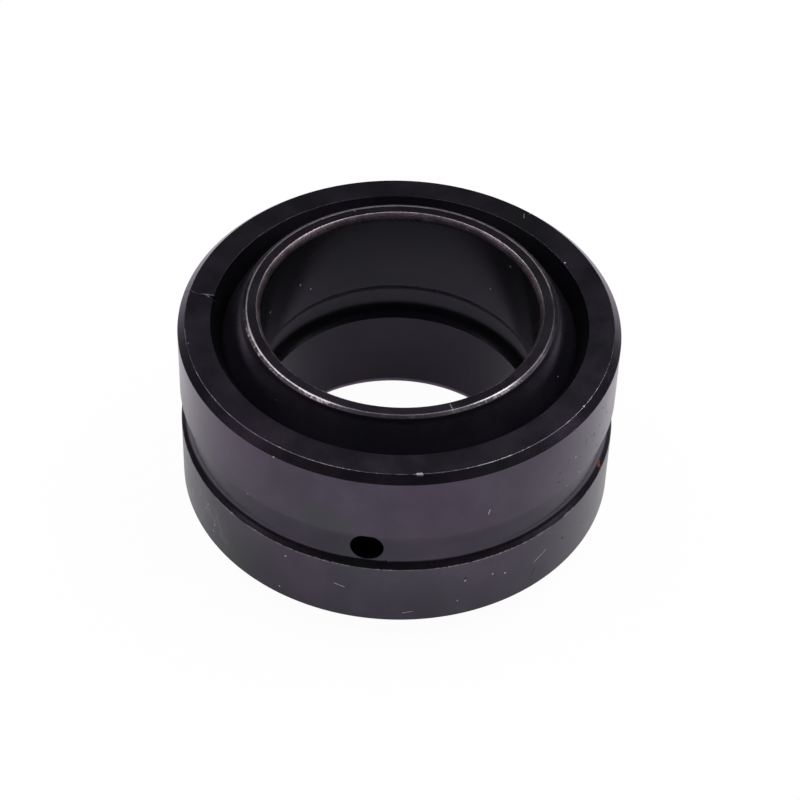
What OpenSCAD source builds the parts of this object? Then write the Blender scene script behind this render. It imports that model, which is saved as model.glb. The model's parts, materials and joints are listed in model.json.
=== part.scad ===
// Radial spherical plain bearing, steel on steel.
// A ball-shaped inner ring with a cylindrical bore swivels in a one-piece outer ring
// that was split at one place to let the ball in.
// The origin is the centre of the ball, and +Z runs along the bore.

/* [Inner ring] */
// Diameter of the bore
bore_d = 50.8; // [46:0.1:56]
// Thickness of the inner ring at its middle, from the bore to the ball surface
inner_wall = 10.6; // [9.9:0.1:14]
// Width of the inner ring, face to face
inner_w = 44.45; // [40:0.05:46]
// How much wider than the bore its rounded mouths are, on the radius
bore_mouth_w = 0.7; // [0.4:0.1:1]
// How far each rounded mouth reaches into the bore
bore_mouth_h = 1.6; // [1:0.1:3]
// Width of the break where the ball meets each face
face_break = 0.45; // [0.1:0.05:0.6]

/* [Outer ring] */
// Thickness of the outer ring at its middle, from the race to the outside, which is 80.963 across
outer_wall = 4.4315; // [4:0.0005:9]
// Width of the outer ring, face to face
outer_w = 38.1; // [34:0.1:42]
// Width and depth of the chamfer on each outside edge
outer_chamfer = 1.35; // [0.5:0.05:2]
// Gap between the ball and the edge of the opening, in each face
mouth_gap = 3.95; // [2:0.01:4.5]
// Slope of each opening's wall to the bearing's axis, in degrees
mouth_slope = 30; // [15:1:45]
// Running clearance between the ball and its race, on the radius
race_gap = 0.05; // [0.02:0.01:0.1]

/* [Lubrication] */
// Width of the groove round the outer ring
outer_groove_w = 8.4; // [7:0.1:10]
// Depth of the groove round the outer ring
outer_groove_depth = 1.2; // [0.8:0.1:2]
// Width of each sloping side of the groove round the outer ring
outer_groove_side = 1.1; // [0.5:0.1:2]
// Diameter of the holes through the outer ring
outer_hole_d = 6; // [3:0.1:6.2]
// Direction of the first hole through the outer ring, in degrees from +X
outer_hole_turn = 263.5; // [0:0.5:359.5]
// Width of the groove round the bore
bore_groove_w = 8.6; // [6.4:0.1:9.4]
// Depth of the groove round the bore
bore_groove_depth = 1.7; // [0.8:0.1:2]
// Diameter of the holes through the inner ring
inner_hole_d = 6; // [3:0.1:6.2]
// Direction of the first hole through the inner ring, in degrees from +X
inner_hole_turn = 9; // [0:1:359]

/* [Fracture] */
// Direction of the split through the outer ring, in degrees from +X
split_turn = 173.5; // [0:0.5:359.5]
// Width of the split
split_gap = 0.1; // [0.05:0.01:0.2]
// How far to the side the split has strayed where it reaches the outside
split_stray = 1.9; // [0:0.1:3]
// Width of the chip where the split meets the opening in the upper face
chip_w = 0.6; // [0.3:0.1:1.2]
// How far the chip reaches into the upper face
chip_reach = 1.2; // [0.5:0.1:2]

/* [Hidden] */
$fn = 128;
// Each ring has two holes, opposite each other
hole_turns = [0, 180];
// How far a cut runs past the surface it opens
over = 1;
bore_r = bore_d / 2;
ball_r = bore_r + inner_wall;
race_r = ball_r + race_gap;
outer_r = race_r + outer_wall;
inner_half = inner_w / 2;
outer_half = outer_w / 2;
// Radius at which the ball and a face of the inner ring would meet in a sharp corner
corner_r = sqrt(ball_r * ball_r - inner_half * inner_half);
face_r = corner_r - face_break;
// The break slopes half as steeply as the ball does at that corner
break_slope = asin(corner_r / ball_r) / 2;
// The opening is mouth_gap wider than the ball is at the height of the outer ring's face
mouth_r = sqrt(ball_r * ball_r - outer_half * outer_half) + mouth_gap;
// The lip is where the sloping wall of an opening meets the race
mouth_tan = tan(mouth_slope);
mouth_axis_r = mouth_r - outer_half * mouth_tan;
lip_z = (sqrt(race_r * race_r * (1 + mouth_tan * mouth_tan) - mouth_axis_r * mouth_axis_r)
         - mouth_axis_r * mouth_tan) / (1 + mouth_tan * mouth_tan);
lip_r = mouth_axis_r + lip_z * mouth_tan;
phosphate_grey = [0.27, 0.25, 0.29];
worn_grey = [0.34, 0.32, 0.36];

// The opening in the upper face of the outer ring: a cone that narrows down to the race
module mouth() {
    translate([0, 0, lip_z - over])
        cylinder(r1 = lip_r - over * mouth_tan, r2 = mouth_r + over * mouth_tan,
                 h = outer_half + over - (lip_z - over));
}

// The rounded mouth of the bore in the upper face. Its arc runs smoothly out of the bore wall
// and meets the face bore_mouth_w outside it
module bore_mouth() {
    arc_r = (bore_mouth_w * bore_mouth_w + bore_mouth_h * bore_mouth_h) / (2 * bore_mouth_w);
    arc_z = inner_half - bore_mouth_h;
    rotate_extrude() difference() {
        translate([0, arc_z]) square([bore_r + bore_mouth_w, bore_mouth_h + over]);
        translate([bore_r + arc_r, arc_z]) circle(r = arc_r);
    }
}

// Whatever is given, at the upper face and again at the lower one
module both_faces() {
    children();
    mirror([0, 0, 1]) children();
}

// The round-bottomed groove round the bore
module bore_groove() {
    w = bore_groove_w;
    depth = bore_groove_depth;
    tool_r = (w * w / 4 + depth * depth) / (2 * depth);
    rotate_extrude() translate([bore_r + depth - tool_r, 0]) circle(r = tool_r);
}

// The flat-bottomed groove round the outer ring, wider at the outside than at its bottom
module outer_groove() {
    top = outer_groove_w / 2;
    bottom = top - outer_groove_side;
    bottom_r = outer_r - outer_groove_depth;
    past = over * outer_groove_side / outer_groove_depth;
    rotate_extrude()
        polygon([[bottom_r, -bottom], [outer_r + over, -top - past],
                 [outer_r + over, top + past], [bottom_r, bottom]]);
}

// Two opposite radial holes of diameter d, from radius r1 to radius r2
module radial_holes(d, turn, r1, r2) {
    for (step = hole_turns)
        rotate([0, 0, turn + step]) translate([r1, 0, 0]) rotate([0, 90, 0])
            cylinder(d = d, h = r2 - r1);
}

// Section of the outer ring's blank, with its outside edges chamfered
module outer_blank() {
    h = outer_half;
    c = outer_chamfer;
    flat_r = outer_r - c;
    rotate_extrude()
        polygon([[0, -h], [flat_r, -h], [outer_r, c - h], [outer_r, h - c], [flat_r, h], [0, h]]);
}

// The fracture through one side of the outer ring. It starts straight out from the race,
// bends in the middle of the face and reaches the outside split_stray to one side
module split() {
    path = [[lip_r - over, 0], [(mouth_r + outer_r) / 2, -split_stray / 4],
            [outer_r, -split_stray], [outer_r + over, -split_stray]];
    side = [0, split_gap / 2];
    last = len(path) - 1;
    rotate([0, 0, split_turn]) linear_extrude(outer_w + 2 * over, center = true)
        polygon(concat([for (p = path) p - side], [for (i = [last:-1:0]) path[i] + side]));
}

// The chip where the fracture broke out at the edge of the opening
module chip() {
    s = chip_reach * sqrt(2);
    rotate([0, 0, split_turn]) translate([mouth_r, 0, outer_half])
        rotate([0, 45, 0]) cube([s, chip_w, s], center = true);
}

module outer_ring() {
    color(phosphate_grey) difference() {
        outer_blank();
        sphere(r = race_r);
        both_faces() mouth();
        outer_groove();
        radial_holes(outer_hole_d, outer_hole_turn, race_r - outer_hole_d / 2, outer_r + over);
        split();
        chip();
    }
}

// The inner ring before boring: a slice of the ball with both edges broken
module ball_slice() {
    reach = inner_half / tan(break_slope);
    intersection() {
        sphere(r = ball_r);
        rotate_extrude()
            polygon([[0, -inner_half], [face_r, -inner_half], [face_r + reach, 0],
                     [face_r, inner_half], [0, inner_half]]);
    }
}

module inner_ring() {
    color(worn_grey) difference() {
        ball_slice();
        cylinder(r = bore_r, h = inner_w + 2 * over, center = true);
        both_faces() bore_mouth();
        bore_groove();
        radial_holes(inner_hole_d, inner_hole_turn, bore_r - over, ball_r + over);
    }
}

outer_ring();
inner_ring();
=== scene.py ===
"""Radial spherical plain bearing: the skins and finish of both rings, the stage and the camera.

Lengths are in metres and angles in radians. Each ring is its outline swept round the Z axis. An
outline is a closed row of points (r, z), listed with the metal on its left, and each of its
corners is a small worn arc. The holes are cut as tubes of points from skin to skin.
"""
import functools
import json
import math

import bpy
import numpy as np
from mathutils import Matrix, Vector
from mathutils.geometry import tessellate_polygon


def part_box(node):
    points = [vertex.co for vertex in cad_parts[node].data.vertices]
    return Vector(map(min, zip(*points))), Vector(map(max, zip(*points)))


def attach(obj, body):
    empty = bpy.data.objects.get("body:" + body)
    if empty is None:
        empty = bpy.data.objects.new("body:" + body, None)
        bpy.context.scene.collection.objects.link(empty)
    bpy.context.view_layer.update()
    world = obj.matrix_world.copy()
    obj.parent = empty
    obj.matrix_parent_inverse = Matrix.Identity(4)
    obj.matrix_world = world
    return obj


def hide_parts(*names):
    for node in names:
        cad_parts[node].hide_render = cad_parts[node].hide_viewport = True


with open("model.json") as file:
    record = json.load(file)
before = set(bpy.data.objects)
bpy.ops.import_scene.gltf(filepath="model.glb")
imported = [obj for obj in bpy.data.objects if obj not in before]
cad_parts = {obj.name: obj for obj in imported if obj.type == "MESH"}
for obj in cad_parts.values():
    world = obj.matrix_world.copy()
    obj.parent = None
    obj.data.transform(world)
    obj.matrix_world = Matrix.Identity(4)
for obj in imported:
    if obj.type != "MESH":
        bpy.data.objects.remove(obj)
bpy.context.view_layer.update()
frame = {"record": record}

bl_info = {
    "name": "Spherical plain bearing",
    "version": (1, 0, 0),
    "blender": (4, 5, 0),
    "location": "View3D > Sidebar > Bearing",
    "description": "Builds the two rings of a spherical plain bearing, their finish and a stage",
    "category": "Mesh",
}

MM = 0.001
MOUNTS = {mount["name"]: mount for mount in frame["record"]["mounts"]}
BORE = MOUNTS["bore"]["dims"]
SEAT = MOUNTS["outer_seat"]["dims"]
INNER_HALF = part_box("inner_ring")[1].z
OUTER_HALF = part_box("outer_ring")[1].z
# How far each rounded mouth reaches into the bore, and how far each chamfer into the seat
BORE_MOUTH = INNER_HALF - BORE["length_mm"] / 2 * MM
SEAT_CHAMFER = OUTER_HALF - SEAT["length_mm"] / 2 * MM

# Distances from a worn corner at which an outline gets an extra point, so flats stay flat
NEAR_CORNER = np.array([0.05, 0.15, 0.35, 0.7]) * MM
# Width over which the wear of a corner fades along the outline
WEAR_FADE = 0.11 * MM
# Longest plain stretch of an outline between two points
LONGEST_STEP = 2.2 * MM
# Points of an outline that would lie closer to their neighbour than this are left out
CLOSEST_STEP = 0.02 * MM
# Steps in the arc of each worn corner
CORNER_STEPS = 5
# Heights of the rows that a hole's patch spans, on both of the skins that it joins. Those at
# 3.1 mm lie on the corners of the outer groove's flat bottom
PATCH_ROWS = np.array([-3.6, *np.linspace(-3.1, 3.1, 13), 3.6]) * MM
# Columns of points round each ring, on the outer one beside those close to its fracture
OUTER_COLUMNS, INNER_COLUMNS = 400, 420
# Half widths of the patches that the holes are cut from, at the outside and at the bore
OUTER_PATCH, INNER_PATCH = 4.5 * MM, 4.2 * MM
# Metallic share of the phosphated steel, and the depth that its bump stands for
METALLIC = 0.92
BUMP_DEPTH = 0.006 * MM
TAU = 2 * math.pi


def length(name, text, default):
    """A length that the user may change, in metres, shown to a hundredth of a millimetre."""
    return bpy.props.FloatProperty(
        name=name, description=text, default=default, min=0.0, unit="LENGTH", precision=5
    )


def angle(name, text, degrees):
    """A direction that the user may change, kept in radians."""
    return bpy.props.FloatProperty(
        name=name, description=text, default=math.radians(degrees), subtype="ANGLE"
    )


def colour(name, text, rgb):
    """A linear colour that the user may change."""
    return bpy.props.FloatVectorProperty(
        name=name, description=text, default=rgb, size=3, min=0.0, max=1.0, subtype="COLOR"
    )


class BearingOuterRing(bpy.types.PropertyGroup):
    """Sizes of the outer ring."""

    radius: length("Outside radius", "Radius of the seat", SEAT["r_mm"] * MM)
    half: length("Half width", "Half of the width between its faces", OUTER_HALF)
    chamfer: length("Chamfer", "Chamfer on each outside edge", SEAT_CHAMFER)
    mouth: length("Mouth radius", "Radius of the opening in each face", 34.5 * MM)
    mouth_slope: angle("Mouth slope", "Slope of the opening's wall to the axis", 30)
    race: length("Race radius", "Radius of the hollow that holds the ball", 36.05 * MM)
    groove_half: length("Groove half width", "Half width of the groove outside", 4.2 * MM)
    groove_depth: length("Groove depth", "Depth of the groove outside", 1.2 * MM)
    groove_side: length("Groove side", "Width of each sloping side of the groove", 1.1 * MM)
    hole: length("Hole radius", "Radius of the two lubrication holes", 3 * MM)
    hole_turn: angle("Hole direction", "Direction of the first hole from +X", 263.5)
    split_turn: angle("Split direction", "Direction of the fracture from +X", 173.5)
    split_gap: length("Split width", "Width of the fracture", 0.1 * MM)
    split_stray: length("Split stray", "How far the fracture strays to the side", 1.9 * MM)
    chip_half: length("Chip half width", "Half width of the chip at the fracture", 0.34 * MM)
    chip_reach: length("Chip reach", "How far the chip reaches into the face", 1.2 * MM)


class BearingInnerRing(bpy.types.PropertyGroup):
    """Sizes of the inner ring."""

    bore: length("Bore radius", "Radius of the bore", BORE["r_mm"] * MM)
    half: length("Half width", "Half of the width between its faces", INNER_HALF)
    ball: length("Ball radius", "Radius of the ball surface", 36 * MM)
    mouth_w: length("Mouth width", "How much wider than the bore its mouths are", 0.7 * MM)
    mouth_h: length("Mouth reach", "Reach of each mouth into the bore", BORE_MOUTH)
    face_break: length("Face break", "Width of the break beside each face", 0.45 * MM)
    groove_half: length("Groove half width", "Half width of the groove in the bore", 4.3 * MM)
    groove_depth: length("Groove depth", "Depth of the groove in the bore", 1.7 * MM)
    hole: length("Hole radius", "Radius of the two lubrication holes", 3 * MM)
    hole_turn: angle("Hole direction", "Direction of the first hole from +X", 9)


class BearingFinish(bpy.types.PropertyGroup):
    """Colours of the phosphated steel, of what lies on it, and of the shade and sheen painted on
    it.
    """

    phosphate: colour("Phosphate", "Dark grey of the phosphated steel", (0.045, 0.0392, 0.053))
    phosphate_pale: colour("Pale phosphate", "Where the coat is thinner", (0.083, 0.073, 0.098))
    violet: colour("Violet patches", "Where the coat has a violet cast", (0.070, 0.049, 0.076))
    green: colour("Green patches", "Where the coat has a green cast", (0.052, 0.057, 0.059))
    # Also partly painted highlight on the outer groove's lower edge and on the inner ring's face
    # edges
    worn: colour("Worn steel", "Steel where an edge is rubbed bright", (0.42, 0.37, 0.41))
    mouth: colour("Bore mouth", "Turned steel in the mouths of the bore", (0.42, 0.33, 0.37))
    # Also a painted sheen on the upper side of the bore's groove
    dust_and_sheen: colour("Dust", "Pale specks and lint", (0.55, 0.53, 0.56))
    rust: colour("Rust", "The rusty speck in the groove", (0.26, 0.09, 0.025))
    # Painted shade: the darker colour inside the bore stands for the shade there
    bore: colour("Bore", "The darker coat inside the bore", (0.029, 0.029, 0.034))
    # Also painted shade: laid on the outer ring's opening walls and groove and on the inner ring's
    # face breaks
    soot_and_shade: colour("Soot", "The small dark pits and the walls of the openings", (0.006, 0.005, 0.006))


class BearingStage(bpy.types.PropertyGroup):
    """The floor and the lamps."""

    floor: colour("Floor", "Colour of the plain floor", (0.92, 0.92, 0.92))
    gloss: colour("Gloss", "How the floor shows in the bearing's gloss", (0.95, 0.79, 1.0))
    floor_half: length("Floor half width", "Half width of the square floor", 2.5)
    lamp_side: length("Lamp side", "Side of each square lamp", 0.6)
    lamp_away: length("Lamp distance", "Distance of each side lamp", 0.7)


class Skin:
    """The points, faces and point values of one closed skin, kept as arrays until it is a mesh."""

    VALUES = ("edge", "mouth", "along")

    def __init__(self):
        self.points = []
        self.values = []
        self.faces = []
        self.count = 0

    def add(self, points, values):
        """Keeps points of shape (..., 3) and their values (..., 3), and returns their numbers."""
        numbers = self.count + np.arange(points[..., 0].size).reshape(points.shape[:-1])
        self.points.append(points.reshape(-1, 3))
        self.values.append(np.broadcast_to(values, points.shape[:-1] + (3,)).reshape(-1, 3))
        self.count += numbers.size
        return numbers

    def tube(self, rings):
        """Quads between each row of numbers and the next, where every row closes on itself."""
        after = np.roll(rings, -1, axis=1)
        quads = np.stack([rings[:-1], after[:-1], after[1:], rings[1:]], -1)
        self.faces.append(quads.reshape(-1, 4))

    def object(self, name):
        """The finished mesh object, with its values as point attributes."""
        mesh = bpy.data.meshes.new(name)
        faces = [row for block in self.faces for row in block.tolist()]
        mesh.from_pydata(np.concatenate(self.points).tolist(), [], faces)
        mesh.validate()
        values = np.concatenate(self.values).astype(np.float32)
        for k, value in enumerate(self.VALUES):
            attribute = mesh.attributes.new(value, "FLOAT", "POINT")
            attribute.data.foreach_set("value", np.ascontiguousarray(values[:, k]))
        mesh.polygons.foreach_set("use_smooth", np.ones(len(mesh.polygons), bool))
        return placed(name, mesh)


def placed(name, data):
    """A new object that holds the data, linked to the scene."""
    piece = bpy.data.objects.new(name, data)
    bpy.context.scene.collection.objects.link(piece)
    return piece


def unit(vector):
    """The vector divided by its own length."""
    return vector / np.linalg.norm(vector)


def turned_by(points, turn):
    """Points (..., 2) turned about the origin: (x cos t - y sin t, x sin t + y cos t)."""
    c, s = np.cos(turn), np.sin(turn)
    x, y = points[..., 0], points[..., 1]
    return np.stack([x * c - y * s, x * s + y * c], -1)


def corner_arc(before, corner, after, radius):
    """The arc that rounds a corner: it leaves each side radius times tan(turn / 2) away from it."""
    d1, d2 = unit(corner - before), unit(after - corner)
    turn = math.atan2(d1[0] * d2[1] - d1[1] * d2[0], d1 @ d2)
    trim = radius * math.tan(abs(turn) / 2)
    start = corner - d1 * trim
    centre = start + np.array([-d1[1], d1[0]]) * radius * math.copysign(1, turn)
    turns = turn * np.linspace(0, 1, CORNER_STEPS + 1)
    return trim, centre + turned_by((start - centre)[None], turns)


def between(start, end, trim_start, trim_end):
    """Points inside one straight stretch: close near its corners, evenly spread between."""
    whole = np.linalg.norm(end - start)
    far = whole - trim_end
    even = np.linspace(trim_start, far, 2 + int((far - trim_start) / LONGEST_STEP))[1:-1]
    near = np.concatenate([trim_start + NEAR_CORNER, far - NEAR_CORNER])
    near = near[(near > trim_start) & (near < far)]
    steps = np.unique(np.round(np.concatenate([even, near]), 8))
    keep = np.concatenate([[True], np.diff(steps) > CLOSEST_STEP])
    return start + unit(end - start) * steps[keep][:, None]


def closed_outline(stretches, corners):
    """One closed outline from stretches of points.

    A stretch of two points is straight, and a longer one is a curve. corners holds, for the end
    of each stretch, the radius and the wear of the corner there. Returns the points, the number
    of the stretch that each is on (-1 on a corner), the wear and the distance along the outline.
    """
    stretches = [np.asarray(stretch) for stretch in stretches]
    arcs = []
    for here, there, corner in zip(stretches, stretches[1:] + stretches[:1], corners):
        arcs.append(corner_arc(here[-2], here[-1], there[1], corner[0]))
    points, parts, worn = [], [], []
    for k, stretch in enumerate(stretches):
        first, last = arcs[k - 1][0], arcs[k][0]
        if len(stretch) == 2:
            inside = between(stretch[0], stretch[1], first, last)
        else:
            past_start = np.linalg.norm(stretch - stretch[0], axis=1) - first
            past_end = np.linalg.norm(stretch - stretch[-1], axis=1) - last
            inside = stretch[(past_start > CLOSEST_STEP) & (past_end > CLOSEST_STEP)]
        points += [inside, arcs[k][1]]
        parts += [np.full(len(inside), k), np.full(len(arcs[k][1]), -1)]
        worn += [np.zeros(len(inside)), np.full(len(arcs[k][1]), corners[k][1])]
    points, parts, worn = np.concatenate(points), np.concatenate(parts), np.concatenate(worn)
    along = np.concatenate([[0], np.cumsum(np.linalg.norm(np.diff(points, axis=0), axis=1))])
    total = along[-1] + np.linalg.norm(points[0] - points[-1])
    apart = abs(along[:, None] - along[None])
    apart = np.minimum(apart, total - apart)
    wear = (worn[None] * np.exp(-((apart / WEAR_FADE) ** 2))).max(1)
    return points, parts, wear, along


def bulge(rows, radius_at):
    """A curved stretch: the radius that the formula gives at each of the rows' heights."""
    return np.stack([radius_at(rows), rows], 1)


def outward(points):
    """Unit normals of a closed outline, pointing away from its metal: its tangent turned right."""
    tangent = np.roll(points, -1, axis=0) - np.roll(points, 1, axis=0)
    normal = np.stack([tangent[:, 1], -tangent[:, 0]], 1)
    return normal / np.linalg.norm(normal, axis=1)[:, None]


def round_groove_radius(size):
    """The radius of the round-bottomed groove in the bore at height z.

    It is the bore's radius plus depth times (1 - |z / half| to the power 2.6).
    """
    half, depth = size.groove_half, size.groove_depth
    return lambda z: size.bore + depth * (1 - np.clip(abs(z) / half, 0, 1) ** 2.6)


def flat_groove_radius(size):
    """The radius of the outer ring's groove at height z.

    It falls in a straight line from the outside to the flat bottom over each side's width.
    """
    r, g, depth, side = size.radius, size.groove_half, size.groove_depth, size.groove_side
    return lambda z: r - depth * np.clip((g - abs(z)) / side, 0, 1)


def sphere_radius(radius):
    """The radius of a ball surface at height z: the root of its radius squared less z squared."""
    return lambda z: np.sqrt(radius * radius - z * z)


def around_rows(low, high, count):
    """Heights from low to high that take in the rows of a hole's patch."""
    edge = PATCH_ROWS[-1]
    lower = np.linspace(low, -edge, count)[:-1]
    upper = np.linspace(edge, high, count)[1:]
    return np.concatenate([lower, PATCH_ROWS, upper])


def outer_outline(size):
    """The outer ring's outline: bands, groove, chamfers, faces, sloping mouths and race.

    A mouth's wall runs in a straight line, at radius k + t z with t the tangent of its slope,
    from the face down to the lip, where r squared plus z squared is the race's radius squared.
    """
    r, h, c, m = size.radius, size.half, size.chamfer, size.mouth
    g = size.groove_half
    t = math.tan(size.mouth_slope)
    k = m - h * t
    lip_z = (math.sqrt(size.race**2 * (1 + t * t) - k * k) - k * t) / (1 + t * t)
    lip = k + lip_z * t
    groove = around_rows(-g, g, 3)
    race = around_rows(-lip_z, lip_z, 12)[::-1]
    stretches = [
        [[r, c - h], [r, -g]],
        bulge(groove, flat_groove_radius(size)),
        [[r, g], [r, h - c]],
        [[r, h - c], [r - c, h]],
        [[r - c, h], [m, h]],
        [[m, h], [lip, lip_z]],
        bulge(race, sphere_radius(size.race)),
        [[lip, -lip_z], [m, -h]],
        [[m, -h], [r - c, -h]],
        [[r - c, -h], [r, c - h]],
    ]
    sharp, soft = 0.04 * MM, 0.14 * MM
    # The first corner, the groove's lower edge, wears more than the groove's upper edge: partly
    # rubbing and partly a painted highlight line along it
    corners = [
        (soft, 0.6), (soft, 0.0), (soft, 0.15), (soft, 0.45), (sharp, 0.15),
        (sharp, 0.0), (sharp, 0.0), (sharp, 0.15), (soft, 0.45), (soft, 0.3),
    ]
    return stretches, corners


def inner_outline(size):
    """The inner ring's outline: ball, breaks, faces, rounded bore mouths, bore and groove."""
    b, h, ball = size.bore, size.half, size.ball
    corner = math.sqrt(ball * ball - h * h)
    face = corner - size.face_break
    slope = math.asin(corner / ball) / 2
    way = np.array([math.cos(slope), -math.sin(slope)])
    start = np.array([face, h])
    along = -start @ way + math.sqrt((start @ way) ** 2 - start @ start + ball * ball)
    meet = start + way * along
    w, d, g = size.mouth_w, size.mouth_h, size.groove_half
    arc_r = (w * w + d * d) / (2 * w)
    turn = np.linspace(math.pi - math.asin(d / arc_r), math.pi, 9)
    mouth = np.stack([b + arc_r + arc_r * np.cos(turn), h - d + arc_r * np.sin(turn)], 1)
    down = np.array([1, -1])
    groove = around_rows(-g, g, 3)[::-1]
    stretches = [
        [start * down, meet * down],
        bulge(around_rows(-meet[1], meet[1], 16), sphere_radius(ball)),
        [meet, start],
        [start, mouth[0]],
        mouth,
        [[b, h - d], [b, g]],
        bulge(groove, round_groove_radius(size)),
        [[b, -g], [b, d - h]],
        mouth[::-1] * down,
        [mouth[0] * down, start * down],
    ]
    soft, worn = 0.15 * MM, 0.3 * MM
    corners = [
        (worn, 0.1), (worn, 0.1), (worn, 0.85), (soft, 0.5), (soft, 0.0),
        (0.5 * MM, 0.0), (soft, 0.1), (soft, 0.0), (soft, 0.5), (worn, 0.85),
    ]
    return stretches, corners


def hole_columns(turns, direction, half_angle):
    """Numbers of the neighbouring columns whose azimuth lies within half_angle of a hole's."""
    apart = (turns - direction + math.pi) % TAU - math.pi
    inside = np.flatnonzero(abs(apart) <= half_angle)
    gap = np.flatnonzero(np.diff(inside) > 1)
    return np.roll(inside, -(gap[0] + 1)) if len(gap) else inside


def rim_loop(columns, rows):
    """Column and row numbers once round a patch: right, up, left and down, seen from outside."""
    right = np.stack([columns[:-1], np.full(len(columns) - 1, rows[0])], 1)
    up = np.stack([np.full(len(rows) - 1, columns[-1]), rows[:-1]], 1)
    left = np.stack([columns[:0:-1], np.full(len(columns) - 1, rows[-1])], 1)
    down = np.stack([np.full(len(rows) - 1, columns[0]), rows[:0:-1]], 1)
    return np.concatenate([right, up, left, down])


def patch_rows(outline, part):
    """Row numbers of one stretch that lie within a hole's patch, from the lowest up."""
    points, parts = outline[:2]
    rows = np.flatnonzero((parts == part) & (abs(points[:, 1]) <= PATCH_ROWS[-1] + 1e-7))
    return rows[np.argsort(points[rows, 1])]


def bore_hole(skin, grid, positions, outline, columns, direction, radius, outside, inside):
    """One lubrication hole, as a tube of rings from a patch on one skin to a patch on the other.

    outside and inside are (stretch, radius formula) of the two skins. In the hole's own axes, x
    along it, y across and z up, a skin lies at x = root of (its radius at z squared less y
    squared). Rings go from the patch's rim to a circle, round a small edge and down the wall.
    """
    points, along = outline[0], outline[3]
    edge, edge_wear = 0.08 * MM, 0.2
    c, s = math.cos(direction), math.sin(direction)
    back = np.array([[c, -s, 0], [s, c, 0], [0, 0, 1]])
    rims, flats, lines = [], [], []
    for part, radius_at in (outside, inside):
        rows = patch_rows(outline, part)
        loop = rim_loop(columns, rows)
        rims.append(grid[loop[:, 0], loop[:, 1]])
        flats.append(positions[loop[:, 0], loop[:, 1]] @ back)
        lines.append((points[rows, 1], along[rows], radius_at))
    turn = np.arctan2(flats[0][:, 2], flats[0][:, 1])
    circle = np.stack([np.cos(turn), np.sin(turn)], 1)

    def side_rings(side, inwards):
        """Rings from a patch's rim to the hole's wall; inwards is -1 on the outer skin."""
        heights, marks, radius_at = lines[side]
        rim = flats[side][:, 1:]
        rings = []
        for share in (0.3, 0.6, 0.85, 1.0):
            flat = rim + (circle * (radius + edge) - rim) * share
            x = np.sqrt(radius_at(flat[:, 1]) ** 2 - flat[:, 0] ** 2)
            mark = np.interp(flat[:, 1], heights, marks)
            rings.append((np.column_stack([x, flat]), np.column_stack([0 * x, 0 * x, mark])))
        start, value = rings[-1]
        for bend in np.linspace(0, math.pi / 2, 5)[1:]:
            flat = circle * (radius + edge * (1 - math.sin(bend)))
            x = start[:, 0] + inwards * edge * (1 - math.cos(bend))
            rings.append((np.column_stack([x, flat]), value + np.array([edge_wear, 0, 0])))
        return rings

    first, last = side_rings(0, -1), side_rings(1, 1)
    wall = []
    for share in (0.06, 0.35, 0.65, 0.94):
        ring = first[-1][0] + (last[-1][0] - first[-1][0]) * share
        wall.append((ring, np.column_stack([0 * turn, 0 * turn, ring[:, 0]])))
    numbers = [rims[0]]
    for ring, value in first + wall + last[::-1]:
        numbers.append(skin.add(ring @ back.T, value))
    numbers.append(rims[1])
    skin.tube(np.array(numbers))


def drill(skin, grid, positions, outline, column_turns, patch_half, size, outside, inside):
    """A ring's two opposite holes; returns the patches (columns, rows) that they take up."""
    patches = []
    for step in (0, math.pi):
        direction = size.hole_turn + step
        columns = hole_columns(column_turns, direction, patch_half)
        patches += [(columns, patch_rows(outline, part)) for part in (outside[0], inside[0])]
        bore_hole(skin, grid, positions, outline, columns, direction, size.hole, outside, inside)
    return patches


def grid_faces(grid, closed, holes):
    """Quads of a swept grid (columns, rows) whose rows close, less the patches of its holes."""
    right = np.roll(grid, -1, axis=0)
    up = np.roll(grid, -1, axis=1)
    quads = np.stack([grid, right, np.roll(right, -1, axis=1), up], -1)
    kept = np.ones(grid.shape, bool)
    for columns, rows in holes:
        low, high = rows.min(), rows.max()
        kept[np.ix_(columns[:-1], np.arange(low, high))] = False
    if not closed:
        kept[-1] = False
    return quads[kept]


def sweep(r, z, turns):
    """Cylinder coordinates to x = r cos t, y = r sin t and z."""
    return np.stack([r * np.cos(turns), r * np.sin(turns), z + 0 * turns], -1)


def split_wander(size, r, z):
    """How far the fracture lies to the side at radius r and height z.

    It bends at the middle of the face and reaches its whole stray outside, with a small ripple
    of sines in r and z on top.
    """
    knots = [size.mouth - 3 * MM, (size.mouth + size.radius) / 2, size.radius]
    course = np.interp(r, knots, [0, -size.split_stray / 4, -size.split_stray])
    ripple = 0.05 * np.sin(1900 * r + 2300 * z) + 0.03 * np.sin(4700 * r - 3100 * z + 1)
    return course + ripple * MM


def outer_columns(size):
    """Shares of a full turn at which the outer ring's outline stands, closest at the split."""
    near = np.array([0, 0.02, 0.045, 0.07, 0.12, 0.2, 0.28, 0.36, 0.5, 0.7, 1.0, 1.4, 1.9]) * MM
    near = near / (TAU * size.radius)
    even = np.linspace(near[-1], 1 - near[-1], OUTER_COLUMNS)[1:-1]
    return np.concatenate([near, even, 1 - near[::-1]])


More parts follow.
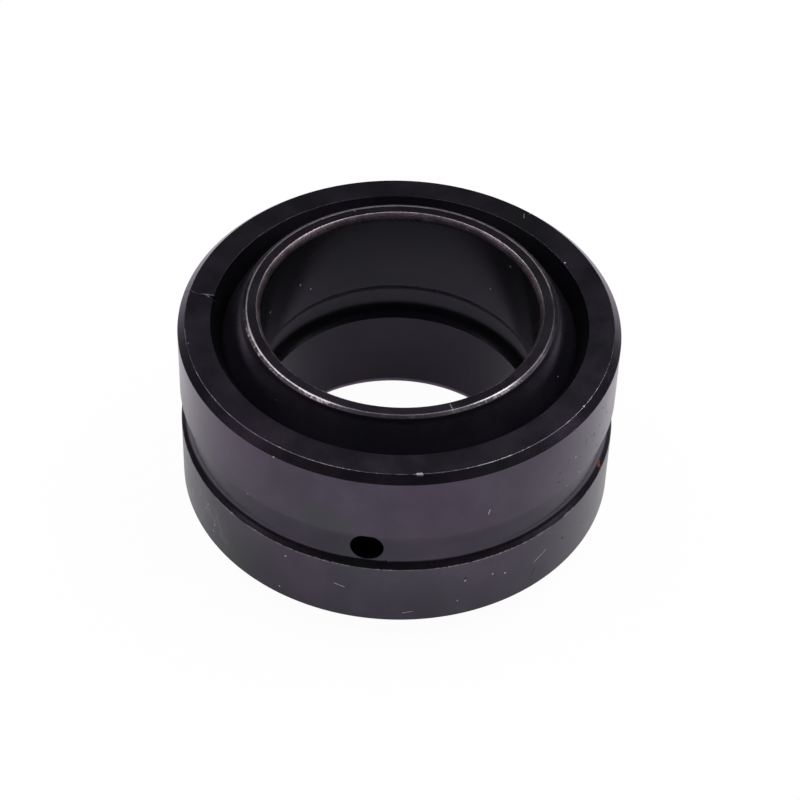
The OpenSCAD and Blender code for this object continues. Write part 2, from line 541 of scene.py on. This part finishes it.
def make_outer_ring(size):
    """The outer ring: its outline swept from one face of the fracture round to the other.

    A column at share q of the turn stands at the split's direction plus q full turns, plus the
    fracture's wander and half its width over r, both fading within a sixteenth of a turn. The
    outline shrinks by f less the root of f squared less (f - d) squared at distance d from the
    fracture, which rounds its edges. The chip pushes points down and outwards beside it.
    """
    outline = closed_outline(*outer_outline(size))
    points, parts, wear, along = outline
    share = outer_columns(size)[:, None]
    away = np.minimum(share, 1 - share)
    distance = away * TAU * size.radius
    soft = 0.04 * MM
    inset = soft - np.sqrt(soft**2 - np.clip(soft - distance, 0, soft) ** 2)
    shrunk = points[None] - outward(points)[None] * inset[..., None]
    r, z = shrunk[..., 0], shrunk[..., 1]
    mouth_edge = np.hypot(r - size.mouth, z - size.half)
    across = np.clip(1 - (distance / size.chip_half) ** 2, 0, 1) ** 0.5
    reach = np.clip(1 - mouth_edge / size.chip_reach, 0, 1) ** 0.7
    depth = 0.6 * size.chip_reach * across * reach * (z > 0)
    r, z = r + depth / math.sqrt(2), z - depth / math.sqrt(2)
    fade = np.clip(1 - 16 * away, 0, 1) ** 2
    side = split_wander(size, r, z) + size.split_gap / 2 * (1 - 2 * share)
    turns = size.split_turn + TAU * share + side / r * fade
    positions = sweep(r, z, turns)
    near_split = 0.3 * np.exp(-((distance / (0.08 * MM)) ** 2)) * (depth < 0.05 * MM)
    in_opening = np.isin(parts, (5, 6, 7))
    values = np.broadcast_arrays(np.maximum(wear, near_split), in_opening, along)
    skin = Skin()
    grid = skin.add(positions, np.stack(values, -1))
    groove = (1, flat_groove_radius(size))
    race = (6, sphere_radius(size.race))
    column_turns = size.split_turn + TAU * share[:, 0]
    half = OUTER_PATCH / size.radius
    cut = drill(skin, grid, positions, outline, column_turns, half, size, groove, race)
    skin.faces.append(grid_faces(grid, False, cut))
    flat = [Vector((p[0], p[1], 0)) for p in points]
    caps = np.array(tessellate_polygon([flat]))
    a, b, c = points[caps[:, 0]], points[caps[:, 1]], points[caps[:, 2]]
    left = (b - a)[:, 0] * (c - a)[:, 1] - (b - a)[:, 1] * (c - a)[:, 0]
    caps[left < 0] = caps[left < 0][:, ::-1]
    skin.faces += [grid[0][caps], grid[-1][caps][:, ::-1]]
    return skin.object("outer_ring_skin")


def make_inner_ring(size):
    """The inner ring: its outline swept all the way round the Z axis, with two holes through it.

    The mouth value rises from 0 to 1 over the first 0.4 of each rounded mouth's reach.
    """
    outline = closed_outline(*inner_outline(size))
    points, parts, wear, along = outline
    turns = np.linspace(0, TAU, INNER_COLUMNS, endpoint=False)[:, None]
    positions = sweep(points[None, :, 0], points[None, :, 1], turns)
    b, h = size.bore, size.half
    into_mouth = (abs(points[:, 1]) - h + size.mouth_h) / size.mouth_h
    in_mouth = np.clip(2.5 * into_mouth, 0, 1) * (points[:, 0] < b + size.mouth_w + 0.05 * MM)
    on_break = 0.36 * np.isin(parts, (0, 2))
    skin = Skin()
    grid = skin.add(positions, np.stack([np.maximum(wear, on_break), in_mouth, along], -1))
    ball = (1, sphere_radius(size.ball))
    groove = (6, round_groove_radius(size))
    half = INNER_PATCH / b
    cut = drill(skin, grid, positions, outline, turns[:, 0], half, size, ball, groove)
    skin.faces.append(grid_faces(grid, True, cut))
    return skin.object("inner_ring_skin")


class Graph:
    """Short ways to add and link shader nodes in one tree."""

    def __init__(self, tree):
        self.tree = tree

    def add(self, kind, inputs=None, **settings):
        """A shader node of that kind and settings; an input is a number, a colour or a socket."""
        node = self.tree.nodes.new("ShaderNode" + kind)
        for name, value in settings.items():
            setattr(node, name, value)
        for key, value in (inputs or {}).items():
            self.put(node.inputs[key], value)
        return node

    def put(self, socket, value):
        """Links a socket to this input, or sets the input's own value."""
        if isinstance(value, bpy.types.NodeSocket):
            self.tree.links.new(value, socket)
        else:
            socket.default_value = value

    def math(self, operation, a, b=0.0, c=0.0, clamp=False):
        """One Math node; its result."""
        inputs = {0: a, 1: b, 2: c}
        return self.add("Math", inputs, operation=operation, use_clamp=clamp).outputs[0]

    def vector(self, operation, a, b=(0.0, 0.0, 0.0)):
        """One Vector Math node; the node itself, because some give a number."""
        return self.add("VectorMath", {0: a, 1: b}, operation=operation)

    def times(self, a, b):
        """One number times another."""
        return self.math("MULTIPLY", a, b)

    def times_plus(self, a, b, c, clamp=False):
        """One number times another, plus a third."""
        return self.math("MULTIPLY_ADD", a, b, c, clamp)

    def axis_distance(self, place):
        """The distance of a place from the Z axis."""
        flat = self.vector("MULTIPLY", place, (1.0, 1.0, 0.0)).outputs[0]
        return self.vector("LENGTH", flat).outputs["Value"]

    def ramp(self, value, low, high, smooth=True):
        """0 at low and 1 at high, either way round, with a smooth or straight step between."""
        kind = "SMOOTHSTEP" if smooth else "LINEAR"
        inputs = {"Value": value, "From Min": low, "From Max": high}
        return self.add("MapRange", inputs, interpolation_type=kind).outputs["Result"]

    def mix(self, share, a, b):
        """Colour a where share is 0 and colour b where it is 1."""
        node = self.add("Mix", data_type="RGBA")
        for name, value in (("Factor_Float", share), ("A_Color", a), ("B_Color", b)):
            self.put(next(s for s in node.inputs if s.identifier == name), value)
        return next(s for s in node.outputs if s.identifier == "Result_Color")

    def noise(self, vector, scale, detail=2.0, rough=0.5):
        """The value of a noise pattern with features about 1 / scale metres across."""
        inputs = {"Vector": vector, "Scale": scale, "Detail": detail, "Roughness": rough}
        return self.add("TexNoise", inputs).outputs["Fac"]

    def attribute(self, name):
        """The piece's own point attribute of that name."""
        return self.add("Attribute", attribute_name=name).outputs["Fac"]


def cleared(owner):
    """The node tree of a material or world, made empty."""
    owner.use_nodes = True
    owner.node_tree.nodes.clear()
    return owner.node_tree


def node_group(name, inputs, outputs):
    """A new shader node group: its tree, its graph, and the sockets it is given and puts out.

    It takes a place called Vector, then the inputs, which are names with their defaults.
    """
    tree = bpy.data.node_groups.new(name, "ShaderNodeTree")
    for socket, default in {"Vector": (0, 0, 0), **inputs}.items():
        kind = "NodeSocketVector" if isinstance(default, tuple) else "NodeSocketFloat"
        made = tree.interface.new_socket(socket, in_out="INPUT", socket_type=kind)
        made.default_value = default
    for socket in outputs:
        tree.interface.new_socket(socket, in_out="OUTPUT", socket_type="NodeSocketFloat")
    given = tree.nodes.new("NodeGroupInput").outputs
    return tree, Graph(tree), given, tree.nodes.new("NodeGroupOutput").inputs


def grain_group():
    """Phosphate grain: broad cloudy patches, fine crystals and a height made of both."""
    inputs = {"Cloud": 110.0, "Crystal": 5200.0}
    outputs = ["Clouds", "Crystals", "Height"]
    tree, g, given, out = node_group("Phosphate grain", inputs, outputs)
    clouds = g.noise(given["Vector"], given["Cloud"], 4.0, 0.6)
    crystals = g.noise(given["Vector"], given["Crystal"], 2.0, 0.6)
    height = g.times_plus(clouds, 0.4, crystals)
    g.put(out["Clouds"], g.ramp(clouds, 0.3, 0.7))
    g.put(out["Crystals"], crystals)
    g.put(out["Height"], height)
    return tree


def turning_group():
    """Turning marks: noise along the outline, so each mark runs once round the ring."""
    inputs = {"Along": 0.0, "Pitch": 0.0002}
    tree, g, given, out = node_group("Turning marks", inputs, ["Marks"])
    drift = g.times(g.noise(given["Vector"], 60.0, 1.0), 0.00006)
    place = g.math("DIVIDE", g.math("ADD", given["Along"], drift), given["Pitch"])
    settings = {"W": place, "Scale": 1.0, "Detail": 3.0, "Roughness": 0.6}
    lines = g.add("TexNoise", settings, noise_dimensions="1D").outputs["Fac"]
    g.put(out["Marks"], g.ramp(lines, 0.25, 0.75, False))
    return tree


def wear_group():
    """Edge wear: where the edge value plus broad and fine noise passes a limit."""
    tree, g, given, out = node_group("Edge wear", {"Edge": 0.0, "Amount": 0.5}, ["Worn"])
    broad = g.noise(given["Vector"], 190.0, 2.0)
    fine = g.noise(given["Vector"], 1700.0, 3.0, 0.7)
    rub = g.times_plus(fine, 0.9, g.times_plus(broad, 0.6, -0.75))
    level = g.times_plus(given["Edge"], given["Amount"], rub)
    worn = g.times(g.ramp(level, 0.25, 0.75), g.ramp(given["Edge"], 0.03, 0.5))
    g.put(out["Worn"], worn)
    return tree


def speck_group():
    """Specks: in a share of the pattern's cells, a round dot of the given size."""
    inputs = {"Density": 500.0, "Size": 0.1, "Share": 0.1}
    tree, g, given, out = node_group("Specks", inputs, ["Specks"])
    warp = g.add("TexNoise", {"Vector": given["Vector"], "Scale": 3000.0}).outputs["Color"]
    shift = g.vector("SCALE", g.vector("SUBTRACT", warp, (0.5, 0.5, 0.5)).outputs[0])
    shift.inputs["Scale"].default_value = 0.0002
    place = g.vector("ADD", given["Vector"], shift.outputs[0]).outputs[0]
    cells = g.add("TexVoronoi", {"Vector": place, "Scale": given["Density"]})
    pick = g.add("SeparateColor", {0: cells.outputs["Color"]}).outputs
    size = g.times(given["Size"], g.math("ADD", pick[1], 0.4))
    dot = g.math("SUBTRACT", 1.0, g.math("DIVIDE", cells.outputs["Distance"], size), clamp=True)
    chosen = g.math("LESS_THAN", pick[0], given["Share"])
    g.put(out["Specks"], g.times(g.ramp(dot, 0.0, 0.35), chosen))
    return tree


def streak_group():
    """Streak: 1 within a width of the straight line from start to end, with a ragged edge."""
    inputs = {"Start": (0, 0, 0), "End": (0, 0, 0), "Width": 0.0002, "Ragged": 0.5}
    tree, g, given, out = node_group("Streak", inputs, ["Streak"])
    reach = g.vector("SUBTRACT", given["End"], given["Start"]).outputs[0]
    here = g.vector("SUBTRACT", given["Vector"], given["Start"]).outputs[0]
    dot = g.vector("DOT_PRODUCT", here, reach).outputs["Value"]
    whole = g.math("MAXIMUM", g.vector("DOT_PRODUCT", reach, reach).outputs["Value"], 1e-12)
    share = g.math("DIVIDE", dot, whole, clamp=True)
    step = g.vector("SCALE", reach)
    g.put(step.inputs["Scale"], share)
    apart = g.vector("DISTANCE", here, step.outputs[0]).outputs["Value"]
    ragged = g.times(g.math("SUBTRACT", g.noise(given["Vector"], 2600.0), 0.5), given["Ragged"])
    level = g.math("ADD", g.math("DIVIDE", apart, given["Width"]), g.times(ragged, 2.0))
    g.put(out["Streak"], g.math("SUBTRACT", 1.0, g.ramp(level, 0.55, 1.0)))
    return tree


def at(r, degrees, z):
    """The point at radius r, azimuth and height, with r and z in millimetres."""
    turn = math.radians(degrees)
    return (r * MM * math.cos(turn), r * MM * math.sin(turn), z * MM)


def on(r, *spots):
    """Spots (radius, azimuth, height), as at takes them, that share their radius."""
    return [(r, *spot) for spot in spots]


class Steel(Graph):
    """One phosphated steel: a Graph whose colour, roughness and height are built up in layers."""

    def __init__(self, name, groups, finish):
        self.material = bpy.data.materials.new(name)
        super().__init__(cleared(self.material))
        self.groups = groups
        self.finish = finish
        self.place = self.add("TexCoord").outputs["Object"]
        self.radius = self.axis_distance(self.place)
        self.level = self.add("SeparateXYZ", {0: self.place}).outputs["Z"]
        self.above = self.math("ABSOLUTE", self.level)
        self.colour = self.rough = self.height = None

    def group(self, name, inputs):
        """One of the shared groups, placed here with its own values; its outputs."""
        node = self.add("Group", node_tree=self.groups[name])
        for key, value in {"Vector": self.place, **inputs}.items():
            self.put(node.inputs[key], value)
        return node.outputs

    def tint(self, key):
        """A colour of the finish, with alpha."""
        return (*getattr(self.finish, key), 1.0)

    def coat(self, pitch, cloud, marks_on_colour):
        """The phosphated ground: clouds, crystals, turning marks and broad coloured casts."""
        grain = self.group("grain", {"Cloud": cloud})
        marks = self.group("turning", {"Along": self.attribute("along"), "Pitch": pitch})["Marks"]
        pale = self.times(grain["Clouds"], 0.45)
        pale = self.times_plus(grain["Crystals"], 0.25, pale)
        pale = self.times_plus(marks, marks_on_colour, pale, clamp=True)
        self.colour = self.mix(pale, self.tint("phosphate"), self.tint("phosphate_pale"))
        cast = self.noise(self.place, 62.0, 1.0)
        violet = self.times(self.ramp(cast, 0.5, 0.74), 0.4)
        green = self.times(self.ramp(cast, 0.48, 0.28), 0.65)
        self.colour = self.mix(violet, self.colour, self.tint("violet"))
        self.colour = self.mix(green, self.colour, self.tint("green"))
        self.rough = self.times_plus(grain["Clouds"], 0.05, 0.19)
        self.rough = self.times_plus(grain["Crystals"], 0.06, self.rough)
        self.height = self.times_plus(marks, 0.5, self.times(grain["Height"], 0.5))

    def layer(self, mask, tint, rough, rise=0.0):
        """Lays a colour of the finish and a roughness over the ground where the mask is 1."""
        self.colour = self.mix(mask, self.colour, self.tint(tint))
        change = self.math("SUBTRACT", rough, self.rough)
        self.rough = self.times_plus(change, mask, self.rough)
        if rise:
            self.height = self.times_plus(mask, rise, self.height)

    def greatest(self, masks):
        """The greatest of several masks."""
        return functools.reduce(lambda a, b: self.math("MAXIMUM", a, b), masks)

    def streaks(self, lines, tint, rough, rise=0.0, ragged=0.5, strength=1.0):
        """Lays a colour along lines, each (start spot, end spot, width in millimetres)."""
        masks = []
        for start, end, width in lines:
            ends = {"Start": at(*start), "End": at(*end)}
            streak = self.group("streak", {**ends, "Width": width * MM, "Ragged": ragged})
            masks.append(streak["Streak"])
        self.layer(self.times(self.greatest(masks), strength), tint, rough, rise)

    def near(self, spots, reach):
        """1 close to any of the spots, fading to 0 at reach millimetres."""
        masks = []
        for spot in spots:
            apart = self.vector("DISTANCE", self.place, at(*spot)).outputs["Value"]
            fade = self.ramp(apart, 0.35 * reach * MM, reach * MM)
            masks.append(self.math("SUBTRACT", 1.0, fade))
        return self.greatest(masks)

    def dust_and_sheen(self, share, lint, reach):
        """Pale specks in that share of the cells, and bits of lint at the spots."""
        specks = self.group("specks", {"Density": 420.0, "Size": 0.055, "Share": share})["Specks"]
        for mask in (specks, self.near(lint, reach)):
            self.layer(mask, "dust_and_sheen", 0.6, 0.2)

    def finished(self):
        """The material, with the shader itself fed by the layers."""
        inputs = {"Height": self.height, "Strength": 1.0, "Distance": BUMP_DEPTH}
        normal = self.add("Bump", inputs).outputs["Normal"]
        shader = self.add("BsdfPrincipled", {
            "Base Color": self.colour, "Roughness": self.rough,
            "Metallic": METALLIC, "Normal": normal,
        })
        self.add("OutputMaterial", {"Surface": shader.outputs["BSDF"]})
        return self.material


def outer_steel(groups, finish):
    """Phosphated steel of the outer ring, with its pits, specks, stains, nick and rust, and painted
    shade in its openings and groove.
    """
    steel = Steel("phosphated_outer", groups, finish)
    steel.coat(0.00022, 110.0, 0.12)
    # Painted shade: the walls of the openings and the race laid near black, for the gap between the
    # rings
    steel.layer(steel.times(steel.attribute("mouth"), 0.8), "soot_and_shade", 0.3)
    # The groove: further out than the race, and stronger from the groove's edges to its middle. It
    # is laid darker as painted shade in the groove's hollow
    in_groove = steel.ramp(steel.radius, 38.9 * MM, 39.2 * MM)
    in_groove = steel.times(in_groove, steel.ramp(steel.above, 4.2 * MM, 1.0 * MM))
    steel.layer(steel.times(in_groove, 0.3), "soot_and_shade", 0.26)
    pits = steel.group("specks", {"Density": 620.0, "Size": 0.16, "Share": 0.5})["Specks"]
    pitted = steel.near(on(40.5, (332, 9), (326, 8), (322, -7)), 9)
    steel.layer(steel.times(pits, pitted), "soot_and_shade", 0.5, -0.6)
    dents = on(
        40.48, (335.5, 14.6), (334.5, 10.9), (330, 10.9), (327, 10.6), (334, 6.1), (316.2, 6.8),
        (289.2, -8.1), (329.2, -11.4),
    )
    steel.layer(steel.near(dents, 0.24), "soot_and_shade", 0.5, -0.8)
    stain = steel.group("grain", {"Cloud": 420.0, "Crystal": 1900.0})
    stained = steel.near(on(40.5, (204, -15.5), (212, -10), (216, -13)), 6)
    flecks = steel.times(steel.ramp(stain["Crystals"], 0.4, 0.7), 0.35)
    flecks = steel.times(flecks, steel.ramp(stain["Clouds"], 0.35, 0.9))
    steel.layer(steel.times(flecks, stained), "dust_and_sheen", 0.42)
    rub = steel.group("wear", {"Edge": steel.attribute("edge"), "Amount": 0.75})["Worn"]
    steel.layer(rub, "worn", 0.3)
    lint = on(
        40.48, (322.5, 9.9), (325, 4.6), (238.8, 17.6), (231, 3.9), (242, -6.7), (240, -15.7),
        (289.2, -8.9), (300.5, -10.2), (296.8, -9.2), (204, -16.9), (212.8, -8.7), (216, -12.3),
    )
    lint_on_face = [(39.1, 327.5, 19.05), (34.8, 29, 19.05)]
    steel.dust_and_sheen(0.12, lint + lint_on_face, 0.24)
    nick = [((39.1, 276.0, 19.0), (39.1, 276.9, 19.0), 0.34)]
    steel.streaks(nick, "dust_and_sheen", 0.5, 0.2, 0.8, 0.7)
    scratches = [
        ((40.48, 309.8, -11.2), (40.48, 313.8, -9.7), 0.09),
        ((40.48, 294.4, 7.4), (40.48, 294.7, 8.4), 0.1),
        ((40.48, 255.5, -9.6), (40.48, 258.2, -10.1), 0.08),
        ((40.48, 273.2, -15.8), (40.48, 275.8, -15.4), 0.08),
        ((37.2, 52.0, 19.05), (38.1, 53.0, 19.05), 0.09),
        ((38.9, 51.8, 19.05), (39.3, 52.2, 19.05), 0.12),
    ]
    steel.streaks(scratches, "worn", 0.4)
    dark_scratch = [((40.48, 309.0, -15.0), (40.48, 310.2, -13.0), 0.1)]
    steel.streaks(dark_scratch, "soot_and_shade", 0.4)
    rusty = [((40.0, 340.4, -3.6), (39.8, 341.5, -3.2), 0.42)]
    steel.streaks(rusty, "rust", 0.75, 0.4, 1.2)
    return steel.finished()


def inner_steel(groups, finish):
    """Phosphated steel of the inner ring, rubbed bright round its mouths and face edges, with
    painted shade in the bore and on the face breaks and a painted sheen on the groove's upper side.
    """
    steel = Steel("phosphated_inner", groups, finish)
    steel.coat(0.00016, 140.0, 0.16)
    # The bore with its groove, up to where its rounded mouths begin to turn bright, laid darker as
    # painted shade inside the bore
    in_bore = steel.ramp(steel.radius, 27.4 * MM, 27.2 * MM)
    in_bore = steel.times(in_bore, steel.ramp(steel.above, 21.4 * MM, 20.4 * MM))
    steel.layer(steel.times(in_bore, 0.8), "bore", 0.22)
    # The upper side of the groove, where it leans towards the bore, laid paler as a painted sheen
    # for the light that it reflects
    side = steel.times(steel.ramp(steel.level, 3.2 * MM, 3.7 * MM), in_bore)
    side = steel.times(side, steel.ramp(steel.level, 4.3 * MM, 4.15 * MM))
    steel.layer(steel.times(side, 0.35), "dust_and_sheen", 0.45)
    # The break between the ball and each face, laid darker as painted shade that dims the lamps'
    # highlight there
    on_break = steel.ramp(steel.radius, 27.8 * MM, 28.0 * MM)
    on_break = steel.times(on_break, steel.ramp(steel.above, 20.9 * MM, 21.5 * MM))
    steel.layer(steel.times(on_break, 0.8), "soot_and_shade", 0.4)
    # The mouths: fine turning lines, broken up by clouds and crystals
    lines = steel.group("turning", {"Along": steel.attribute("along"), "Pitch": 0.00009})["Marks"]
    patches = steel.group("grain", {"Cloud": 260.0, "Crystal": 2600.0})
    bright = steel.times_plus(lines, 0.9, steel.times(patches["Crystals"], 0.6))
    bright = steel.times(steel.ramp(bright, 0.4, 1.0), 0.95)
    bright = steel.times(bright, steel.times_plus(patches["Clouds"], 0.5, 0.45))
    mask = steel.times(steel.attribute("mouth"), bright)
    steel.layer(mask, "mouth", 0.6, 0.6)
    rub = steel.group("wear", {"Edge": steel.attribute("edge"), "Amount": 0.85})["Worn"]
    # Painted shade and highlight: round the front and front right the face edges lose most of their
    # rubbed brightness, which stays where those edges catch the lamps
    kept = steel.near([(28, turn, 22.2) for turn in (258, 273, 288, 328, 343, 358)], 8)
    rub = steel.times(rub, steel.times_plus(kept, -0.85, 1.0))
    steel.layer(rub, "worn", 0.38)
    lint = on(25.4, (138.5, 11.2), (132.5, 8.5), (162, 12.2), (37.2, 19))
    steel.dust_and_sheen(0.14, lint, 0.3)
    dents = [(28.85, 6, 22.15), (28.9, 351, 22.1), (28.95, 341, 22.1)]
    steel.layer(steel.near(dents, 0.35), "soot_and_shade", 0.5, -0.8)
    scratches = [
        ((27.4, 109.5, 22.22), (28.3, 109.5, 22.22), 0.08),
        ((26.5, 290.5, 22.22), (28.3, 290.5, 22.22), 0.08),
        ((25.42, 108.4, 21.1), (25.42, 109.6, 21.2), 0.08),
        ((25.42, 90.4, 21.2), (25.42, 91.6, 21.1), 0.08),
    ]
    steel.streaks(scratches, "worn", 0.4)
    return steel.finished()


def area_lamp(name, place, width, height, power):
    """A soft rectangular lamp at that place, facing the object."""
    lamp = bpy.data.lights.new(name, "AREA")
    lamp.shape = "RECTANGLE"
    lamp.size, lamp.size_y = width, height
    lamp.energy = power
    piece = placed(name, lamp)
    piece.location = place
    piece.rotation_euler = (-Vector(place)).to_track_quat("-Z", "Y").to_euler()


def towards(away, azimuth, elevation):
    """The point at that distance, azimuth from +X and elevation, both in degrees."""
    a, e = math.radians(azimuth), math.radians(elevation)
    return Vector((math.cos(a) * math.cos(e), math.sin(a) * math.cos(e), math.sin(e))) * away


def make_floor(stage):
    """A plain square floor under the inner ring, with the bearing's shadow.

    Camera rays see it near white. Gloss rays see it dark beside the bearing, a painted shade, paler
    further out, and paler again at the back of what shows through the bore, a painted pool of
    light.
    """
    half, z = stage.floor_half, -INNER_HALF
    corners = [(-half, -half, z), (half, -half, z), (half, half, z), (-half, half, z)]
    mesh = bpy.data.meshes.new("floor")
    mesh.from_pydata(corners, [], [(0, 1, 2, 3)])
    floor = placed("floor", mesh)
    material = bpy.data.materials.new("pale_floor")
    g = Graph(cleared(material))
    path = g.add("LightPath").outputs
    place = g.add("TexCoord").outputs["Object"]
    radius = g.axis_distance(place)
    # Shares of white that the rays see: for gloss rays they paint shade beside the bearing and a
    # pool of light at the back within the bore
    white, beside, further, behind = 0.97, 0.03, 0.41, 0.25
    shown = g.times_plus(g.ramp(radius, 43 * MM, 78 * MM), further, beside)
    back = g.ramp(g.add("SeparateXYZ", {0: place}).outputs["Y"], -5 * MM, 12 * MM)
    back = g.times(back, g.ramp(radius, 30 * MM, 24 * MM))
    shown = g.times_plus(back, behind, shown)
    seen = g.times(path["Is Camera Ray"], white)
    seen = g.times_plus(path["Is Glossy Ray"], shown, seen)
    seen = g.times_plus(path["Is Transmission Ray"], white, seen, clamp=True)
    plain = g.add("BsdfDiffuse", {"Color": (*stage.floor, 1.0)})
    tone = g.mix(path["Is Glossy Ray"], (1.0, 1.0, 1.0, 1.0), (*stage.gloss, 1.0))
    glow = g.add("Emission", {"Color": tone, "Strength": 1.0})
    both = g.add("MixShader", {0: seen, 1: plain.outputs[0], 2: glow.outputs[0]})
    g.add("OutputMaterial", {"Surface": both.outputs[0]})
    mesh.materials.append(material)


def make_world():
    """A dim even surrounding, as a dark studio would be, which camera rays see near white."""
    world = bpy.data.worlds.new("dim_studio")
    g = Graph(cleared(world))
    seen = g.add("LightPath").outputs["Is Camera Ray"]
    dim, more_to_camera = 0.038, 0.95
    strength = g.times_plus(seen, more_to_camera, dim)
    tone = g.mix(seen, (0.94, 0.92, 1.0, 1.0), (1.0, 1.0, 1.0, 1.0))
    light = g.add("Background", {"Color": tone, "Strength": strength})
    g.add("OutputWorld", {"Surface": light.outputs[0]})
    bpy.context.scene.world = world


def make_camera():
    """The photographed view: elevation, roll and offsets as fitted to the rings' edges."""
    elevation, roll = math.radians(44.767), math.radians(1.976)
    across = 2 * SEAT["r_mm"] * MM
    away, aside, down = 5.868 * across, -0.0060 * across, -0.0160 * across
    frame_px, focal_px = 800, 2534.9
    forward = Vector((0, math.cos(elevation), -math.sin(elevation)))
    level_right = Vector((1, 0, 0))
    level_down = Vector((0, -math.sin(elevation), -math.cos(elevation)))
    right = math.cos(roll) * level_right - math.sin(roll) * level_down
    low = math.sin(roll) * level_right + math.cos(roll) * level_down
    place = -(aside * right + down * low + away * forward)
    camera = bpy.data.cameras.new("camera")
    camera.sensor_width = 36
    camera.lens = focal_px / frame_px * camera.sensor_width
    camera.clip_start, camera.clip_end = 0.01, 20
    piece = placed("camera", camera)
    axes = Matrix((right, -low, -forward)).transposed().to_4x4()
    piece.matrix_world = Matrix.Translation(place) @ axes
    bpy.context.scene.camera = piece


class BEARING_OT_outer_ring(bpy.types.Operator):
    """Make the outer ring's skin and its finish"""

    bl_idname = "bearing.outer_ring"
    bl_label = "Outer ring"

    def execute(self, context):
        scene = context.scene
        piece = make_outer_ring(scene.bearing_outer)
        piece.data.materials.append(outer_steel(node_groups(), scene.bearing_finish))
        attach(piece, "outer_ring")
        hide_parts("outer_ring")
        return {"FINISHED"}


class BEARING_OT_inner_ring(bpy.types.Operator):
    """Make the inner ring's skin and its finish"""

    bl_idname = "bearing.inner_ring"
    bl_label = "Inner ring"

    def execute(self, context):
        scene = context.scene
        piece = make_inner_ring(scene.bearing_inner)
        piece.data.materials.append(inner_steel(node_groups(), scene.bearing_finish))
        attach(piece, "inner_ring")
        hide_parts("inner_ring")
        return {"FINISHED"}


class BEARING_OT_stage(bpy.types.Operator):
    """Make the floor, the lamps, the surrounding and the camera"""

    bl_idname = "bearing.stage"
    bl_label = "Stage"

    def execute(self, context):
        stage = context.scene.bearing_stage
        side, away = stage.lamp_side, stage.lamp_away
        make_floor(stage)
        area_lamp("right_lamp", towards(away, 17, 57), side, side, 4.6)
        area_lamp("left_lamp", towards(away, 167, 60), side, side, 3.6)
        area_lamp("top_lamp", towards(1.1, 90, 68), 1.1, 0.6, 0.1)
        make_world()
        make_camera()
        context.scene.view_settings.view_transform = "Standard"
        return {"FINISHED"}


def node_groups():
    """The shared node groups, each built the first time that a material asks for them."""
    makers = {
        "grain": ("Phosphate grain", grain_group), "turning": ("Turning marks", turning_group),
        "wear": ("Edge wear", wear_group), "specks": ("Specks", speck_group),
        "streak": ("Streak", streak_group),
    }
    return {key: bpy.data.node_groups.get(name) or make() for key, (name, make) in makers.items()}


class BEARING_PT_sidebar(bpy.types.Panel):
    """Lists the bearing's steps in the sidebar"""

    bl_idname = "BEARING_PT_sidebar"
    bl_label = "Bearing"
    bl_space_type = "VIEW_3D"
    bl_region_type = "UI"
    bl_category = "Bearing"

    def draw(self, context):
        scene = context.scene
        rows = (
            ("bearing.outer_ring", scene.bearing_outer),
            ("bearing.inner_ring", scene.bearing_inner),
            ("bearing.stage", scene.bearing_stage),
            (None, scene.bearing_finish),
        )
        for operator, group in rows:
            box = self.layout.box()
            if operator:
                box.operator(operator)
            for name in group.__annotations__:
                box.prop(group, name)


GROUPS = {
    "bearing_outer": BearingOuterRing,
    "bearing_inner": BearingInnerRing,
    "bearing_finish": BearingFinish,
    "bearing_stage": BearingStage,
}
CLASSES = (
    *GROUPS.values(), BEARING_OT_outer_ring, BEARING_OT_inner_ring, BEARING_OT_stage,
    BEARING_PT_sidebar,
)


def register():
    """Registers the classes and hangs their values on the scene."""
    for made in CLASSES:
        bpy.utils.register_class(made)
    for name, group in GROUPS.items():
        setattr(bpy.types.Scene, name, bpy.props.PointerProperty(type=group))


def unregister():
    """Takes away what register made."""
    for name in GROUPS:
        delattr(bpy.types.Scene, name)
    for made in reversed(CLASSES):
        bpy.utils.unregister_class(made)


def main():
    """Makes the camera and stage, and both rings."""
    register()
    bpy.ops.bearing.stage()
    bpy.ops.bearing.outer_ring()
    bpy.ops.bearing.inner_ring()


if __name__ == "__main__":
    main()
